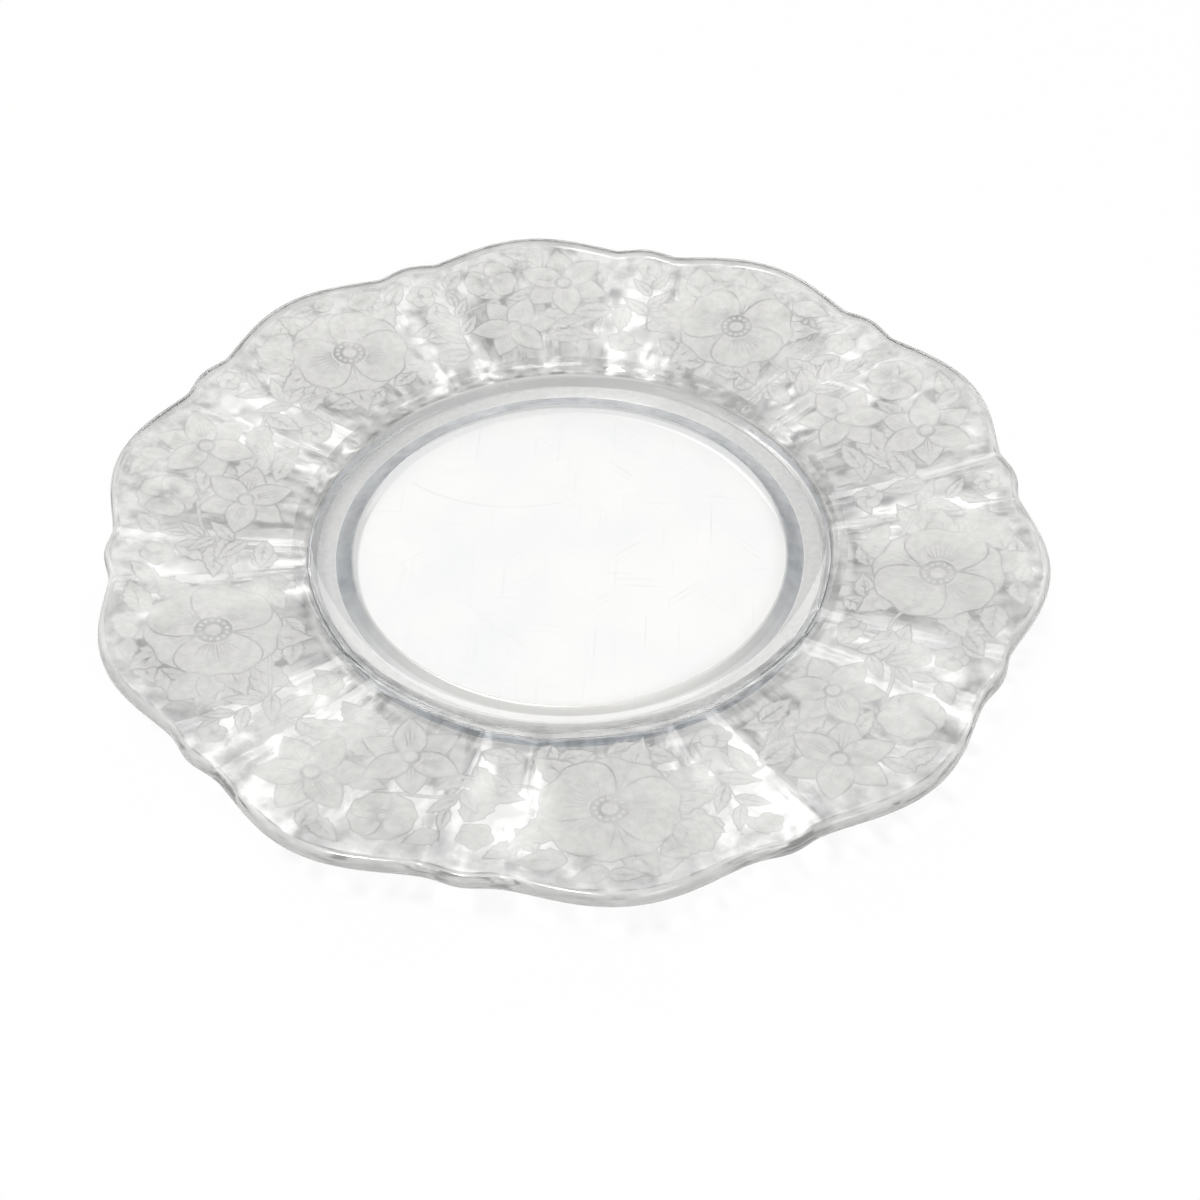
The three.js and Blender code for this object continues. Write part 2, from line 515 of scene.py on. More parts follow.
# Points that keep the rim's surface true: a grid all over it, and closer ones along the creases
def rimPoints():
    innerMargin, outerMargin = cutting["rimMargin"]
    grid = hexGrid(rimInner, glass["radius"], cutting["rimSpacing"])
    points = [p for p in grid if rimInner + innerMargin < abs(p) < edgeAt(np.angle(p)) - outerMargin]
    farthest = notchRadius - cutting["creaseMargin"]
    reaches = np.arange(rimInner + innerMargin, farthest, cutting["creaseSpacing"])
    for lobe in range(glass["lobes"]):
        for hand in (-1, 1):
            for degrees in cutting["creaseFan"]:
                crease = lobe * pitch + hand * lobeHalf + math.radians(degrees)
                points += [cmath.rect(reach, crease) for reach in reaches]
    return points


def cutRim(outerLoop, innerLoop):
    verts, borders, shown, finder = paintedBorders(outerLoop, innerLoop)
    loopCount = len(outerLoop)
    points = list(outerLoop) + list(innerLoop)
    edges = [(k, (k + 1) % loopCount) for k in range(loopCount)]
    edges += [(loopCount + k, loopCount + (k + 1) % loopCount) for k in range(loopCount)]
    used = {}
    for a, b in borders:
        for v in (a, b):
            if v not in used:
                used[v] = len(points)
                points.append(verts[v])
        edges.append((used[a], used[b]))
    tree = KDTree(len(points))
    for index, p in enumerate(points):
        tree.insert((p.real, p.imag, 0), index)
    tree.balance()
    for p in rimPoints():
        if tree.find((p.real, p.imag, 0))[2] > cutting["leastGap"]:
            points.append(p)
    out, _, tris, origin, _, _ = delaunay_2d_cdt(asVectors(points), edges, [], 0, cutting["tolerance"])
    plan = np.array([complex(v.x, v.y) for v in out])
    loopOf = {}
    for index, sources in enumerate(origin):
        for source in sources:
            if source < 2 * loopCount:
                loopOf[index] = source
    kept, kinds = [], []
    for tri in tris:
        middle = sum(plan[v] for v in tri) / 3
        onOuter = all(v in loopOf and loopOf[v] < loopCount for v in tri)
        onInner = all(v in loopOf and loopOf[v] >= loopCount for v in tri)
        if onInner or onOuter and abs(middle) > edgeAt(np.angle(middle)) - cutting["outsideMargin"]:
            continue
        kept.append(tri)
        _, _, under, _ = finder.ray_cast(Vector((middle.real, middle.imag, 1)), Vector((0, 0, -1)))
        kinds.append("clear" if under is None else shown[under])
    return plan, kept, kinds, loopOf


# One closed mesh: ring by ring along the section, with the etched rim and the two flat discs set in
wellSlot, rimSlot, etchedSlot, lineSlot, groundSlot = range(5)
wallSlot, outerSlot, underSlot, edgeSlot, shoulderSlot = range(5, 10)
paintSlots = {"clear": rimSlot, "frost": etchedSlot, "line": lineSlot}


# The finish along the section, by the middle of a step
def finishAt(step):
    radius, height = step.real, step.imag
    tiny = 1e-6
    if height < tiny:
        return groundSlot
    if radius < footInner and height < glass["footHeight"] - tiny:
        return wallSlot
    if glass["footRadius"] - 1 < radius < rimInner and height < floorTop:
        return outerSlot if height < vergeTop - glass["rimThickness"] else underSlot
    if radius < rimInner:
        return shoulderSlot if radius > glass["footRadius"] - 0.5 and height > floorTop else wellSlot
    return edgeSlot if radius > glass["radius"] - glass["edgeRounding"] - 0.1 else underSlot


class GlassMesh:
    def __init__(self):
        self.points, self.normals, self.faces, self.slots = [], [], [], []

    # Rings of points along a run of the section, with their own smooth normals
    def addRings(self, path):
        first = len(self.points)
        steps = len(ringAngles)
        filled = np.ones(steps)
        rows = np.stack([placePoint(p.real * filled, p.imag * filled, ringAngles) for p in path])
        travel = np.concatenate([[0], np.cumsum(np.abs(np.diff(path)))])
        normals = np.cross(np.roll(rows, -1, 1) - np.roll(rows, 1, 1), np.gradient(rows, travel, axis=0))
        normals /= np.linalg.norm(normals, axis=2)[:, :, None]
        self.points += rows.reshape(-1, 3).tolist()
        self.normals += normals.reshape(-1, 3).tolist()
        for i in range(len(path) - 1):
            slot = finishAt((path[i] + path[i + 1]) / 2)
            for k in range(steps):
                a, b = first + i * steps + k, first + i * steps + (k + 1) % steps
                self.faces.append((a, b, b + steps, a + steps))
                self.slots.append(slot)
        return first, first + (len(path) - 1) * steps

    # The flat inside a ring
    def addDisc(self, ring, height, up):
        steps = len(ringAngles)
        loop = [complex(*self.points[ring + k][:2]) for k in range(steps)]
        points = loop + hexGrid(-1, abs(loop[0]) - cutting["discMargin"], cutting["discSpacing"])
        outline, near = [list(range(steps))], cutting["tolerance"]
        out, _, tris, origin, _, _ = delaunay_2d_cdt(asVectors(points), [], outline, 1, near)
        index = []
        for v, sources in zip(out, origin):
            onRing = [ring + source for source in sources if source < steps]
            if onRing:
                index.append(onRing[0])
                continue
            index.append(len(self.points))
            self.points.append([v.x, v.y, height])
            self.normals.append([0, 0, 1 if up else -1])
        for tri in tris:
            self.faces.append(tuple(index[v] for v in (tri if up else tri[::-1])))
            self.slots.append(wellSlot)

    # The etched top of the rim between two rings
    def addRim(self, outerRing, innerRing):
        steps = len(ringAngles)
        loops = []
        for ring in (outerRing, innerRing):
            loops.append(np.array([complex(*self.points[ring + k][:2]) for k in range(steps)]))
        plan, tris, kinds, loopOf = cutRim(*loops)
        heights, normals = rimTop(plan), rimNormals(plan)
        index = []
        for v, p in enumerate(plan):
            if v in loopOf:
                source = loopOf[v]
                index.append(outerRing + source if source < steps else innerRing + source - steps)
                self.normals[index[-1]] = normals[v].tolist()
            else:
                index.append(len(self.points))
                self.points.append([p.real, p.imag, heights[v]])
                self.normals.append(normals[v].tolist())
        for tri, kind in zip(tris, kinds):
            self.faces.append(tuple(index[v] for v in tri))
            self.slots.append(paintSlots[kind])


def makePlate():
    outside, inside = sectionPaths()
    shell = GlassMesh()
    recessRing, outerRing = shell.addRings(np.array(outside))
    innerRing, floorRing = shell.addRings(np.array(inside))
    shell.addRim(outerRing, innerRing)
    shell.addDisc(recessRing, glass["footHeight"], False)
    shell.addDisc(floorRing, floorTop, True)
    mesh = bpy.data.meshes.new("plate")
    mesh.from_pydata((np.array(shell.points) * mm).tolist(), [], shell.faces)
    mesh.polygons.foreach_set("material_index", shell.slots)
    mesh.polygons.foreach_set("use_smooth", [True] * len(shell.faces))
    mesh.update()
    mesh.normals_split_custom_set_from_vertices(shell.normals)
    plate = bpy.data.objects.new("glassPlate", mesh)
    bpy.context.collection.objects.link(plate)
    shares = [shell.slots.count(s) for s in range(shoulderSlot + 1)]
    print("plate mesh:", len(mesh.vertices), "points,", len(mesh.polygons), "faces, by finish", shares)
    return plate


plate = makePlate()


# Finishes. Tints colour what is seen through the glass, light tints what the lamps send through it to
# the table. Sizes are in mm. Patches run from the deep to the pale tint.
wellFinish = {
    "paleTint": (1.0, 1.0, 1.0, 1),
    "scratchTint": (0.87, 0.88, 0.89, 1),
    "cloudTint": (0.95, 0.965, 0.97, 1),
    "cloudSize": 14.0,
    "cloudSpread": (0.35, 0.65),
    "hair": {"low": (-17, 5), "bow": 0.018, "reach": 14, "width": 0.14},    # one long bowed scratch
    "scratchTurns": (8, 55, 97, 140),
    "scratchSpread": (0.70, 0.80),
    "scratchWidth": 0.3,
    "scratchLength": 16.0,
    "roughness": 0.0,
    "lightTint": (1.0, 1.0, 1.0, 1),
}
# The rim's patches are painted shade: smudges that stand in for the flowers' shadows on the table seen
# through the clear glass. Its margin tint is an even painted shade by the edge.
rimFinish = {
    "paleTint": (0.99, 0.995, 0.99, 1),
    "deepTint": (0.42, 0.425, 0.42, 1),
    "marginTint": (0.68, 0.685, 0.68, 1),     # by the edge
    "marginShare": 0.75,
    "patchRays": (3.4, 7.5),  # width and length of patches that run out from the middle
    "patchSpread": (0.36, 0.52),
    "roughness": 0.0,
    "grainSize": 9.0,         # slow waves left by the press
    "grainDepth": 0.05,
    "smudgeDeep": 0.0,        # light where the waves spread it on the table
    "smudgeBright": 1.55,     # and where they gather it
}
etchedFinish = {
    "paleTint": (0.785, 0.785, 0.77, 1),
    "deepTint": (0.68, 0.68, 0.667, 1),
    "patchSize": 1.4,         # where the acid bit deeper
    "patchSpread": (0.32, 0.62),
    "roughness": 0.5,
    "clearness": 0.55,        # the rest scatters the light back
    "grainSize": 0.35,
    "grainDepth": 0.01,
    "smudgeDeep": 0.3,
    "smudgeBright": 0.88,
    "strokes": (0.22, 2.6),   # width and length of the etcher's strokes
    "strokeDepth": 0.5,
}
lineFinish = {
    "paleTint": (0.65, 0.65, 0.64, 1),
    "deepTint": (0.50, 0.505, 0.50, 1),
    "patchSize": 6.0,
    "patchSpread": (0.35, 0.65),
    "roughness": 0.3,
    "grainSize": 0.35,
    "grainDepth": 0.01,
    "lightTint": (0.58, 0.58, 0.58, 1),
}
smudges = {
    "rays": (3.2, 8.0),       # width and length
    "spread": (0.40, 0.59),
    "vergeShade": 0.25,       # less light comes through beside the foot
    "vergeFade": 6.0,
    "bumpLight": 0.25,        # more under the bumps
    "bumpFade": (-0.03, 0.01),                # radians from the crease
    # painted highlight: how much paler the tint of the rim and of the frost is on the bumps and along the
    # creases
    "bumpPale": 0.1,
    "creasePale": 0.3,
    "streakSize": 11.0,       # the streaks come and go
    "streakSpread": (0.40, 0.52),
    "crease": 0.016,          # half width of the bright streak along a crease, in radians
    # from here out the rim's patches blend into its margin tint, the painted shade by the edge
    "edgeStart": 72.5,        # the patches fade from here to the edge
    "edgeEnd": 78.0,
}
groundFinish = {
    "paleTint": (0.54, 0.545, 0.54, 1),
    "deepTint": (0.44, 0.445, 0.44, 1),
    "patchSize": 1.2,
    "patchSpread": (0.35, 0.65),
    "roughness": 0.55,
    "grainSize": 0.25,
    "grainDepth": 0.01,
    "lightTint": (0.8, 0.8, 0.8, 1),
}
# The inner wall of the foot, with painted light: seen aslant its blue-grey patches are a painted
# reflection of the dim room, and looked through squarely its upper part is darkened as painted shade.
wallFinish = {
    "squareTint": (0.76, 0.76, 0.745, 1),     # looked through squarely
    "lowTint": (0.97, 0.97, 0.97, 1),         # almost clear on the lower part, below the painted shade
    "lowHeight": (0.8, 1.0),
    "paleTint": (0.44, 0.465, 0.495, 1),
    "deepTint": (0.31, 0.33, 0.36, 1),
    "patchSize": 3.0,
    "patchSpread": (0.35, 0.65),
    "slant": (0.05, 0.22),    # from square to aslant
    "roughness": 0.25,
    "clearness": 0.35,        # the rest scatters the light back
    "grainSize": 2.0,
    "grainDepth": 0.02,
    "lightTint": (0.5, 0.5, 0.5, 1),
}
# The outer wall of the foot: seen aslant its dark blue-grey patches are a painted reflection of the table
# in shade under the rim.
outerFinish = {
    "squareTint": (0.85, 0.85, 0.84, 1),
    "paleTint": (0.30, 0.335, 0.38, 1),
    "deepTint": (0.14, 0.165, 0.20, 1),
    "patchSize": 4.0,
    "patchSpread": (0.35, 0.65),
    "slant": (0.32, 0.50),
    "roughness": 0.08,
    "grainSize": 3.0,
    "grainDepth": 0.04,
    "lightTint": (0.5, 0.5, 0.5, 1),
}
# The underside's patches are painted shade: smudges, deeper towards the foot and towards the edge.
underFinish = {
    "paleTint": (0.92, 0.925, 0.92, 1),
    "deepTint": (0.30, 0.305, 0.30, 1),
    "patchSize": 4.0,
    "patchSpread": (0.08, 0.38),
    "footDeep": 0.08,         # the patches get deeper towards the foot
    "footFade": 7.0,
    "edgeDeep": 0.22,         # and towards the edge
    "edgeFade": (62.0, 74.0),
    "roughness": 0.0,
    "grainSize": 20.0,
    "grainDepth": 0.02,
    "lightTint": (0.98, 0.98, 0.98, 1),
}
edgeFinish = {
    "paleTint": (0.84, 0.845, 0.84, 1),
    "deepTint": (0.70, 0.705, 0.70, 1),
    "patchSize": 8.0,
    "patchSpread": (0.35, 0.65),
    "roughness": 0.14,
    "clearness": 0.6,
    "grainSize": 20.0,
    "grainDepth": 0.01,
    "lightTint": (0.93, 0.93, 0.93, 1),
}
# The shoulder by the verge: its patches are painted shade, smudges like the rim's.
shoulderFinish = {
    "paleTint": (0.96, 0.965, 0.96, 1),
    "deepTint": (0.42, 0.425, 0.42, 1),
    "patchSize": 4.0,
    "patchSpread": (0.34, 0.62),
    "roughness": 0.0,
    "grainSize": 9.0,
    "grainDepth": 0.03,
    "lightTint": (0.7, 0.7, 0.7, 1),
}
glassIor = 1.5


def addNode(tree, kind, **sockets):
    node = tree.nodes.new(kind)
    for name, value in sockets.items():
        socket = node.inputs[name.replace("_", " ")]
        if isinstance(value, bpy.types.NodeSocket):
            tree.links.new(value, socket)
        else:
            socket.default_value = value
    return node


def addMath(tree, operation, *values):
    node = tree.nodes.new("ShaderNodeMath")
    node.operation = operation
    for socket, value in zip(node.inputs, values):
        if isinstance(value, bpy.types.NodeSocket):
            tree.links.new(value, socket)
        else:
            socket.default_value = value
    return node.outputs[0]


def noiseAt(tree, size, detail):
    place = addNode(tree, "ShaderNodeTexCoord")
    scale = 1 / (size * mm)
    noise = addNode(tree, "ShaderNodeTexNoise", Vector=place.outputs["Object"], Scale=scale, Detail=detail)
    return noise.outputs["Fac"]


def rampOf(tree, level, stops):
    ramp = addNode(tree, "ShaderNodeValToRGB", Fac=level)
    marks = ramp.color_ramp.elements
    for mark, (place, color) in zip((marks[0], marks[1]), stops):
        mark.position, mark.color = place, color
    return ramp.outputs["Color"]


def rangeOf(tree, level, start, end, low, high):
    spread = addNode(tree, "ShaderNodeMapRange", Value=level, From_Min=start, From_Max=end,
                     To_Min=low, To_Max=high)
    return spread.outputs["Result"]


# Distance from the middle of the plate, in mm
def radiusAt(tree):
    place = addNode(tree, "ShaderNodeTexCoord")
    length = addNode(tree, "ShaderNodeVectorMath", Vector=place.outputs["Object"])
    length.operation = "LENGTH"
    return addMath(tree, "DIVIDE", length.outputs["Value"], mm)


# Noise in patches that run out from the middle
def raysAt(tree, width, length, detail):
    place = addNode(tree, "ShaderNodeTexCoord")
    direction = addNode(tree, "ShaderNodeVectorMath", Vector=place.outputs["Object"])
    direction.operation = "NORMALIZE"
    split = addNode(tree, "ShaderNodeSeparateXYZ", Vector=direction.outputs["Vector"])
    acrossX = addMath(tree, "MULTIPLY", split.outputs["X"], glass["radius"] / width)
    acrossY = addMath(tree, "MULTIPLY", split.outputs["Y"], glass["radius"] / width)
    along = addMath(tree, "DIVIDE", radiusAt(tree), length)
    spread = addNode(tree, "ShaderNodeCombineXYZ", X=acrossX, Y=acrossY, Z=along)
    noise = addNode(tree, "ShaderNodeTexNoise", Vector=spread.outputs["Vector"], Scale=1.0, Detail=detail)
    return noise.outputs["Fac"]


# Glass for the camera, but open to the light of the lamps and of the room on its way to the table
def glassMaterial(name, finish):
    material = bpy.data.materials.new(name)
    material.use_nodes = True
    tree = material.node_tree
    shader = tree.nodes["Principled BSDF"]
    shader.inputs["Roughness"].default_value = finish["roughness"]
    shader.inputs["IOR"].default_value = glassIor
    shader.inputs["Transmission Weight"].default_value = finish.get("clearness", 1.0)
    path = addNode(tree, "ShaderNodeLightPath")
    through = addNode(tree, "ShaderNodeBsdfTransparent")
    if "lightTint" in finish:
        through.inputs["Color"].default_value = finish["lightTint"]
    lit = addMath(tree, "MAXIMUM", path.outputs["Is Shadow Ray"], path.outputs["Is Diffuse Ray"])
    mix = addNode(tree, "ShaderNodeMixShader", Fac=lit)
    tree.links.new(shader.outputs["BSDF"], mix.inputs[1])
    tree.links.new(through.outputs["BSDF"], mix.inputs[2])
    tree.links.new(mix.outputs["Shader"], tree.nodes["Material Output"].inputs["Surface"])
    return material, tree, shader, through


# Fine straight marks of use, all in one direction
def scratchesAt(tree, turn):
    place = addNode(tree, "ShaderNodeTexCoord")
    stretch = addNode(tree, "ShaderNodeMapping", Vector=place.outputs["Object"])
    stretch.vector_type = "TEXTURE"
    stretch.inputs["Rotation"].default_value = (0, 0, math.radians(turn))
    width, length = wellFinish["scratchWidth"] * mm, wellFinish["scratchLength"] * mm
    stretch.inputs["Location"].default_value = (turn * length, 0, 0)
    stretch.inputs["Scale"].default_value = (width, length, length)
    noise = addNode(tree, "ShaderNodeTexNoise", Vector=stretch.outputs["Vector"], Scale=1.0, Detail=1.0)
    return rangeOf(tree, noise.outputs["Fac"], *wellFinish["scratchSpread"], 0.0, 1.0)


# 1 on the bowed scratch, 0 elsewhere
def hairAt(tree):
    hair = wellFinish["hair"]
    place = addNode(tree, "ShaderNodeTexCoord")
    split = addNode(tree, "ShaderNodeSeparateXYZ", Vector=place.outputs["Object"])
    along = addMath(tree, "SUBTRACT", addMath(tree, "DIVIDE", split.outputs["X"], mm), hair["low"][0])
    across = addMath(tree, "SUBTRACT", addMath(tree, "DIVIDE", split.outputs["Y"], mm), hair["low"][1])
    bowed = addMath(tree, "MULTIPLY", addMath(tree, "MULTIPLY", along, along), hair["bow"])
    onCurve = addMath(tree, "COMPARE", across, bowed, hair["width"])
    onReach = addMath(tree, "COMPARE", along, 0.0, hair["reach"])
    onTop = addMath(tree, "GREATER_THAN", split.outputs["Z"], glass["footHeight"] * mm)
    return addMath(tree, "MULTIPLY", addMath(tree, "MULTIPLY", onCurve, onReach), onTop)


def wellGlass():
    material, tree, shader, _ = glassMaterial("wellGlass", wellFinish)
    wear = scratchesAt(tree, wellFinish["scratchTurns"][0])
    for turn in wellFinish["scratchTurns"][1:]:
        wear = addMath(tree, "MAXIMUM", wear, scratchesAt(tree, turn))
    wear = addMath(tree, "MAXIMUM", wear, hairAt(tree))
    low, high = wellFinish["cloudSpread"]
    cloud = noiseAt(tree, wellFinish["cloudSize"], 3.0)
    clouded = rampOf(tree, cloud, [(low, wellFinish["cloudTint"]), (high, wellFinish["paleTint"])])
    blend = addNode(tree, "ShaderNodeMixRGB", Fac=wear, Color1=clouded, Color2=wellFinish["scratchTint"])
    tree.links.new(blend.outputs["Color"], shader.inputs["Base Color"])
    return material


# Glass in patches of two tints, with what else its finish asks for
def patchyGlass(name, finish):
    material, tree, shader, through = glassMaterial(name, finish)
    if "patchRays" in finish:
        patch = raysAt(tree, *finish["patchRays"], 5.0)
    else:
        patch = noiseAt(tree, finish["patchSize"], 5.0)
    if "smudgeDeep" in finish:
        smudge, paintedHighlight, paintedEdgeShare = smudgedLight(tree, finish)
        tree.links.new(smudge, through.inputs["Color"])
        # painted highlight: the patches paler on the bumps and along the creases
        patch = addMath(tree, "ADD", patch, paintedHighlight)
    if "strokes" in finish:
        strokes = addMath(tree, "SUBTRACT", raysAt(tree, *finish["strokes"], 2.0), 0.5)
        patch = addMath(tree, "MULTIPLY_ADD", strokes, finish["strokeDepth"], patch)
    # painted shade: the underside's patches deeper towards the foot and towards the edge
    if "footDeep" in finish:
        fade = (rimInner, rimInner + finish["footFade"])
        footShade = rangeOf(tree, radiusAt(tree), *fade, finish["footDeep"], 0.0)
        patch = addMath(tree, "SUBTRACT", patch, footShade)
        edgeShade = rangeOf(tree, radiusAt(tree), *finish["edgeFade"], 0.0, finish["edgeDeep"])
        patch = addMath(tree, "SUBTRACT", patch, edgeShade)
    low, high = finish["patchSpread"]
    color = rampOf(tree, patch, [(low, finish["deepTint"]), (high, finish["paleTint"])])
    # painted shade: towards the edge the rim's patches blend into the even margin tint
    if "marginTint" in finish:
        share = addMath(tree, "MULTIPLY", paintedEdgeShare, finish["marginShare"])
        blend = addNode(tree, "ShaderNodeMixRGB", Fac=share, Color1=color, Color2=finish["marginTint"])
        color = blend.outputs["Color"]
    # painted reflection and shade on the walls of the foot: by Layer Weight the tint turns from the square
    # tint to the patches as the wall is seen aslant, and on the inner wall's lower part the square tint is
    # almost clear
    if "slant" in finish:
        facing = addNode(tree, "ShaderNodeLayerWeight", Blend=0.5).outputs["Facing"]
        aslant = rangeOf(tree, facing, *finish["slant"], 0.0, 1.0)
        square = finish["squareTint"]
        if "lowTint" in finish:
            place = addNode(tree, "ShaderNodeTexCoord")
            split = addNode(tree, "ShaderNodeSeparateXYZ", Vector=place.outputs["Object"])
            low, high = finish["lowHeight"]
            raised = rangeOf(tree, split.outputs["Z"], low * mm, high * mm, 0.0, 1.0)
            square = rampOf(tree, raised, [(0.0, finish["lowTint"]), (1.0, finish["squareTint"])])
        blend = addNode(tree, "ShaderNodeMixRGB", Fac=aslant, Color1=square, Color2=color)
        color = blend.outputs["Color"]
    tree.links.new(color, shader.inputs["Base Color"])
    grain = noiseAt(tree, finish["grainSize"], 1.5)
    bump = addNode(tree, "ShaderNodeBump", Height=grain, Distance=finish["grainDepth"] * mm)
    tree.links.new(bump.outputs["Normal"], shader.inputs["Normal"])
    return material


# The light that the rim lets through: smudged, dim beside the foot, more under bumps and creases.
# With it comes a painted highlight, how much paler the patches are on the bumps and creases, and the share
# of the painted edge shade, which is 1 by the edge.
def smudgedLight(tree, finish):
    deep, bright = finish["smudgeDeep"], finish["smudgeBright"]
    place = addNode(tree, "ShaderNodeTexCoord")
    split = addNode(tree, "ShaderNodeSeparateXYZ", Vector=place.outputs["Object"])
    angle = addMath(tree, "ARCTAN2", split.outputs["Y"], split.outputs["X"])
    fromLobe = addMath(tree, "PINGPONG", angle, pitch / 2)
    radius = radiusAt(tree)
    smudge = rangeOf(tree, raysAt(tree, *smudges["rays"], 4.0), *smudges["spread"], deep, bright)
    bumpStart, bumpFull = smudges["bumpFade"]
    onBump = rangeOf(tree, fromLobe, lobeHalf + bumpStart, lobeHalf + bumpFull, 0.0, 1.0)
    smudge = addMath(tree, "ADD", smudge, addMath(tree, "MULTIPLY", onBump, smudges["bumpLight"]))
    smudge = addMath(tree, "MINIMUM", smudge, bright)
    fade = (rimInner, rimInner + smudges["vergeFade"])
    byVerge = rangeOf(tree, radius, *fade, smudges["vergeShade"], 1.0)
    smudge = addMath(tree, "MULTIPLY", smudge, byVerge)
    onCrease = addMath(tree, "COMPARE", fromLobe, lobeHalf, smudges["crease"])
    streaks = noiseAt(tree, smudges["streakSize"], 2.0)
    broken = rangeOf(tree, streaks, *smudges["streakSpread"], 0.0, 1.0)
    onCrease = addMath(tree, "MULTIPLY", onCrease, broken)
    smudge = addMath(tree, "MAXIMUM", smudge, addMath(tree, "MULTIPLY", onCrease, bright))
    paintedHighlight = addMath(tree, "MULTIPLY", onBump, smudges["bumpPale"])
    paintedHighlight = addMath(tree, "ADD", paintedHighlight, addMath(tree, "MULTIPLY", onCrease, smudges["creasePale"]))
    paintedEdgeShare = rangeOf(tree, radius, smudges["edgeStart"], smudges["edgeEnd"], 0.0, 1.0)
    return smudge, paintedHighlight, paintedEdgeShare


patchyFinishes = {
    "rimGlass": rimFinish,
    "etchedGlass": etchedFinish,
    "etchedLine": lineFinish,
    "groundGlass": groundFinish,
    "wallGlass": wallFinish,
    "outerWallGlass": outerFinish,
    "underGlass": underFinish,
    "edgeGlass": edgeFinish,
    "shoulderGlass": shoulderFinish,
}
plate.data.materials.append(wellGlass())
for name, finish in patchyFinishes.items():       # in the order of the slots
    plate.data.materials.append(patchyGlass(name, finish))
print("glass finished:", len(plate.data.materials), "finishes")
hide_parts("plate")
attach(plate, "root")

# Table, room and lamps. Azimuth 0 is straight behind the plate as the camera sees it.
studio = {
    "tableSize": 3.0,
    "tableDrop": 0.0002,      # just below the foot
    "tableColor": (0.96, 0.96, 0.96, 1),
    "tableGlow": 0.9,         # share of plain white where the camera sees the bare table
    "glassGlow": 0.2,         # the same through the glass
    "roomLight": 0.17,        # what the room adds to the lamps
    # colours of the room by height of the direction, darker and cooler towards the horizon
    "roomStops": [
        (0.0, (0.42, 0.45, 0.48)),
        (0.12, (0.56, 0.58, 0.6)),
        (0.4, (0.8, 0.8, 0.8)),
        (1.0, (1, 1, 1)),
    ],
    "lampDistance": 3.0,
    "lamps": [
        {"name": "topLamp", "azimuth": 105, "elevation": 78, "size": (0.45, 0.45), "watts": 62,
         "color": (1, 0.985, 0.96)},
        {"name": "frontLamp", "azimuth": 212, "elevation": 38, "size": (1.0, 1.0), "watts": 21,
         "color": (0.97, 0.985, 1)},
        {"name": "backStrip", "azimuth": 0, "elevation": 30, "size": (2.0, 0.8), "watts": 13,
         "color": (1, 1, 1)},
    ],
}


# 1 for what the camera sees directly, mirrored or through the glass
def seenBy(tree):
    path = addNode(tree, "ShaderNodeLightPath")
    direct = addMath(tree, "MAXIMUM", path.outputs["Is Camera Ray"], path.outputs["Is Glossy Ray"])
    return addMath(tree, "MAXIMUM", direct, path.outputs["Is Transmission Ray"])


def makeTable():
    half = studio["tableSize"] / 2
    mesh = bpy.data.meshes.new("table")
    top = -studio["tableDrop"]
    corners = [(-half, -half, top), (half, -half, top), (half, half, top), (-half, half, top)]
    mesh.from_pydata(corners, [], [(0, 1, 2, 3)])
    table = bpy.data.objects.new("table", mesh)
    bpy.context.collection.objects.link(table)
    material = bpy.data.materials.new("whiteTable")
    material.use_nodes = True
    tree = material.node_tree
    shader = tree.nodes["Principled BSDF"]
    shader.inputs["Base Color"].default_value = studio["tableColor"]
    shader.inputs["Roughness"].default_value = 0.9
    shader.inputs["Specular IOR Level"].default_value = 0.0
    glow = addNode(tree, "ShaderNodeEmission", Strength=1.0)
    path = addNode(tree, "ShaderNodeLightPath")
    throughGlass = addMath(tree, "MULTIPLY", seenBy(tree), studio["glassGlow"])
    bare = addMath(tree, "MULTIPLY", path.outputs["Is Camera Ray"], studio["tableGlow"])
    mix = addNode(tree, "ShaderNodeMixShader", Fac=addMath(tree, "MAXIMUM", throughGlass, bare))
    tree.links.new(shader.outputs["BSDF"], mix.inputs[1])
    tree.links.new(glow.outputs["Emission"], mix.inputs[2])
    tree.links.new(mix.outputs["Shader"], tree.nodes["Material Output"].inputs["Surface"])
    mesh.materials.append(material)


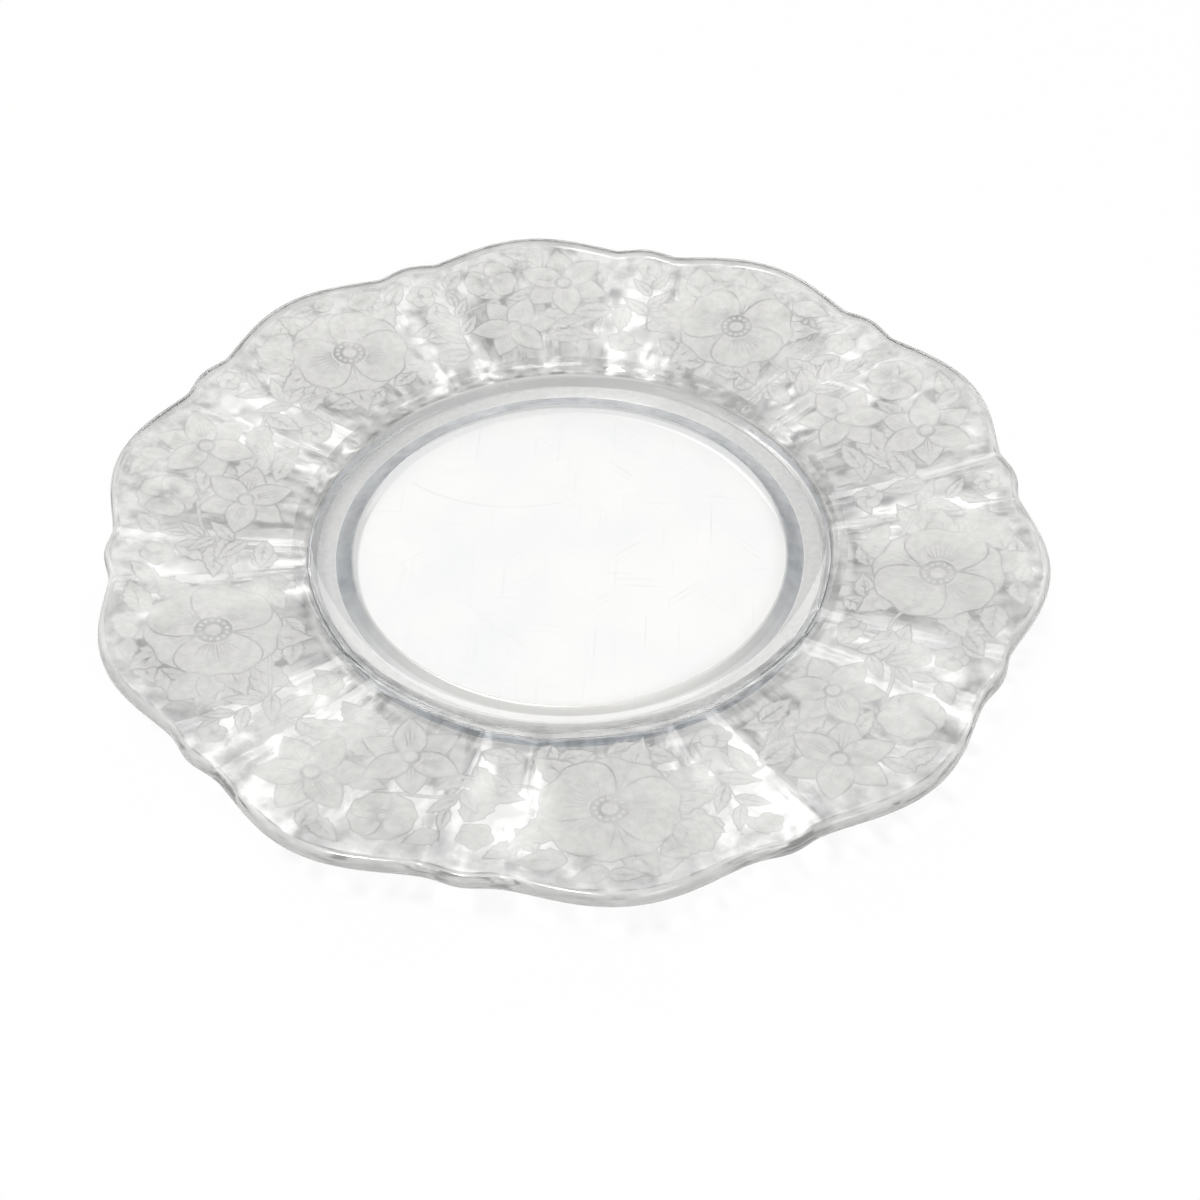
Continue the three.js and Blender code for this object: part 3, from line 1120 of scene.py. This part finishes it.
def makeRoom():
    world = bpy.data.worlds.new("room")
    world.use_nodes = True
    tree = world.node_tree
    direction = addNode(tree, "ShaderNodeTexCoord")
    split = addNode(tree, "ShaderNodeSeparateXYZ", Vector=direction.outputs["Generated"])
    ramp = addNode(tree, "ShaderNodeValToRGB", Fac=split.outputs["Z"])
    stops = ramp.color_ramp.elements
    for place, color in studio["roomStops"]:
        stop = stops[0] if place == 0 else stops[-1] if place == 1 else stops.new(place)
        stop.color = (*color, 1)
    path = addNode(tree, "ShaderNodeLightPath")
    seen = path.outputs["Is Camera Ray"]
    white = (1, 1, 1, 1)
    backdrop = addNode(tree, "ShaderNodeMixRGB", Fac=seen, Color1=ramp.outputs["Color"], Color2=white)
    background = tree.nodes["Background"]
    tree.links.new(backdrop.outputs["Color"], background.inputs["Color"])
    strength = addMath(tree, "MAXIMUM", seenBy(tree), studio["roomLight"])
    tree.links.new(strength, background.inputs["Strength"])
    bpy.context.scene.world = world


def makeLamps():
    for lamp in studio["lamps"]:
        data = bpy.data.lights.new(lamp["name"], "AREA")
        data.shape = "RECTANGLE"
        data.size, data.size_y = lamp["size"]
        data.energy = lamp["watts"]
        data.color = lamp["color"]
        piece = bpy.data.objects.new(lamp["name"], data)
        bpy.context.collection.objects.link(piece)
        turn = Matrix.Rotation(math.radians(view["azimuth"] + lamp["azimuth"]), 4, "Z")
        tilt = Matrix.Rotation(math.radians(lamp["elevation"] - 90), 4, "X")
        piece.matrix_world = turn @ tilt @ Matrix.Translation((0, 0, studio["lampDistance"]))


# The camera stands where the picture was taken, sizes in mm and degrees
view = {
    "sensor": 36,
    "lens": 56.16,
    "distance": 310.0,
    "azimuth": 11.13,
    "elevation": 45.42,
    "roll": -0.275,
    "aim": (9.34, -20.26, 11.0),
}


def makeCamera():
    data = bpy.data.cameras.new("camera")
    data.sensor_width = view["sensor"]
    data.lens = view["lens"]
    data.clip_start = 0.01
    camera = bpy.data.objects.new("camera", data)
    bpy.context.collection.objects.link(camera)
    turn = Matrix.Rotation(math.radians(view["azimuth"]), 4, "Z")
    tilt = Matrix.Rotation(math.radians(90 - view["elevation"]), 4, "X")
    roll = Matrix.Rotation(math.radians(view["roll"]), 4, "Z")
    back = Matrix.Translation((0, 0, view["distance"] * mm))
    camera.matrix_world = Matrix.Translation(Vector(view["aim"]) * mm) @ turn @ tilt @ roll @ back
    bpy.context.scene.camera = camera


makeTable()
makeRoom()
makeCamera()
makeLamps()
bpy.context.scene.view_settings.view_transform = "Standard"
print("table, room and camera set")
